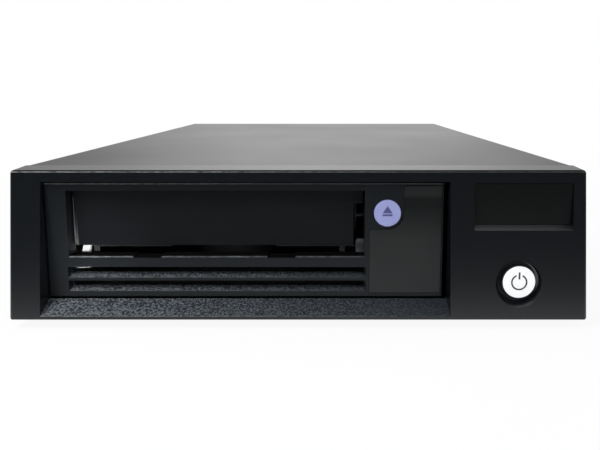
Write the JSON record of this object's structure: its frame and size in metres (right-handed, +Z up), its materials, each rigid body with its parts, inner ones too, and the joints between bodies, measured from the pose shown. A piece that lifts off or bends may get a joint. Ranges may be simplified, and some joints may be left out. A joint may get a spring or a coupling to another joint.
{
  "type": "external data tape drive",
  "caption": "Desktop cartridge tape drive: half-height drive module in a flat black sheet-metal case with a leaning bezel, door, eject and power buttons.",
  "frame": {"origin": "middle of the footprint, on the surface that the feet stand on", "axes": "+X to the right seen from the front, +Y from the front bezel to the rear wall, +Z up"},
  "size_m": [0.213, 0.332, 0.0587],
  "materials": {
    "case_paint": "fine-grained black powder paint on sheet steel",
    "bezel_plastic": "near-black moulded plastic, fine spark grain",
    "badge_panel": "blank glossy black label panel",
    "door_plastic": "satin black moulded plastic",
    "smoked_window": "smoked clear acrylic",
    "white_button": "white moulded plastic with a dark power symbol",
    "blue_button": "lavender-blue moulded plastic with an eject symbol",
    "rubber": "black rubber",
    "screw_steel": "blackened steel",
    "bright_steel": "bright steel",
    "galvanised": "galvanised sheet steel",
    "blackened_sheet": "black-coated sheet steel",
    "nylon": "natural white nylon",
    "motor_metal": "plated motor steel",
    "driver_plastic": "dark grey toothed plastic hub",
    "reel_plastic": "dark moulded reel",
    "roller_metal": "turned aluminium",
    "deck_metal": "cast aluminium deck",
    "head_metal": "ground head block",
    "board": "green solder-masked board",
    "component_black": "black component plastic",
    "lamp": "clear lamp lens",
    "digit": "grey-faced digit display",
    "transformer": "taped winding on a ferrite core",
    "capacitor": "sleeved capacitor",
    "heatsink": "bare aluminium",
    "contact": "nickel-flashed brass pins",
    "cage": "nickel-plated cage",
    "lead_grey": "grey flat lead"
  },
  "bodies": {
    "enclosure": {"badge_plate": "badge_panel", "base_pan": "case_paint", "board_standoffs": "bright_steel", "cover_screws": "screw_steel", "data_lead": "lead_grey", "data_sockets": "cage", "deck_posts": "bright_steel", "digit_display": "digit", "display_board": "board", "door_hinge_rod": "bright_steel", "drive_base": "galvanised", "drive_bezel": "bezel_plastic", "drive_board": "board", "drive_cover": "galvanised", "drive_power_lead": "lead_grey", "drive_screws": "screw_steel", "drive_sockets": "component_black", "drive_standoffs": "bright_steel", "eject_switch": "component_black", "entry_guide": "nylon", "fan_frame": "component_black", "fan_screws": "screw_steel", "front_bezel": "bezel_plastic", "head_actuator": "bright_steel", "inlet_pins": "contact", "interface_board": "board", "loader_frame": "galvanised", "loader_motor": "motor_metal", "mains_leads": "lead_grey", "power_inlet": "component_black", "power_switch": "component_black", "reel_driver_stator": "motor_metal", "rubber_feet": "rubber", "status_lamps": "lamp", "status_window": "smoked_window", "supply_board": "board", "supply_capacitors": "capacitor", "supply_heatsinks": "heatsink", "supply_transformer": "transformer", "switch_board": "board", "switch_lead": "lead_grey", "take_up_motor": "motor_metal", "tape_deck": "deck_metal", "threader_post": "bright_steel", "top_cover": "case_paint"},
    "door": {"cartridge_door": "door_plastic"},
    "slider": {"loader_slider": "blackened_sheet"},
    "tray": {"cartridge_tray": "blackened_sheet", "tray_pins": "bright_steel"},
    "driver": {"reel_driver": "driver_plastic"},
    "take_up": {"take_up_reel": "reel_plastic"},
    "roller_1": {"guide_roller_1": "roller_metal"},
    "roller_2": {"guide_roller_2": "roller_metal"},
    "roller_3": {"guide_roller_3": "roller_metal"},
    "roller_4": {"guide_roller_4": "roller_metal"},
    "head": {"tape_head": "head_metal"},
    "threader": {"threader_arm": "deck_metal"},
    "eject": {"eject_button": "blue_button"},
    "power": {"power_button": "white_button"},
    "fan": {"fan_rotor": "component_black"}
  },
  "joints": [
    {"name": "door_swing", "type": "hinge", "parent": "enclosure", "child": "door", "pos_m": [-0.03, -0.1518, 0.0506], "axis": [1, 0, 0], "range_deg": [0, 88], "stiffness_Nm_per_rad": 0.001, "springref_deg": -11.46},
    {"name": "eject_press", "type": "slide", "parent": "enclosure", "child": "eject", "axis": [0, 1, 0], "range_m": [0, 0.001], "stiffness_N_per_m": 400, "springref_m": -0.002},
    {"name": "power_press", "type": "slide", "parent": "enclosure", "child": "power", "axis": [0, 1, 0], "range_m": [0, 0.0015], "stiffness_N_per_m": 400, "springref_m": -0.002},
    {"name": "loader_slide", "type": "slide", "parent": "enclosure", "child": "slider", "axis": [0, 1, 0], "range_m": [0, 0.02]},
    {"name": "tray_drop", "type": "slide", "parent": "slider", "child": "tray", "axis": [0, 0, -1], "range_m": [0, 0.005]},
    {"name": "driver_spin", "type": "hinge", "parent": "enclosure", "child": "driver", "pos_m": [-0.0308, -0.099, 0.03], "axis": [0, 0, 1], "continuous": true},
    {"name": "take_up_spin", "type": "hinge", "parent": "enclosure", "child": "take_up", "pos_m": [-0.036, 0.006, 0.03], "axis": [0, 0, 1], "continuous": true},
    {"name": "roller_1_spin", "type": "hinge", "parent": "enclosure", "child": "roller_1", "pos_m": [0.022, -0.028, 0.03], "axis": [0, 0, 1], "continuous": true},
    {"name": "roller_2_spin", "type": "hinge", "parent": "enclosure", "child": "roller_2", "pos_m": [0.024, -0.012, 0.03], "axis": [0, 0, 1], "continuous": true},
    {"name": "roller_3_spin", "type": "hinge", "parent": "enclosure", "child": "roller_3", "pos_m": [0.024, 0.02, 0.03], "axis": [0, 0, 1], "continuous": true},
    {"name": "roller_4_spin", "type": "hinge", "parent": "enclosure", "child": "roller_4", "pos_m": [0.012, 0.04, 0.03], "axis": [0, 0, 1], "continuous": true},
    {"name": "head_lift", "type": "slide", "parent": "enclosure", "child": "head", "axis": [0, 0, 1], "range_m": [-0.003, 0.003]},
    {"name": "threader_swing", "type": "hinge", "parent": "enclosure", "child": "threader", "pos_m": [0.04, 0.036, 0.0437], "axis": [0, 0, 1], "range_deg": [-54, 0]},
    {"name": "fan_spin", "type": "hinge", "parent": "enclosure", "child": "fan", "pos_m": [0.024, 0.152, 0.031], "axis": [0, 1, 0], "continuous": true}
  ],
  "couplings": [
    {"joint": "tray_drop", "follows": "loader_slide", "ratio": 0.25}
  ]
}
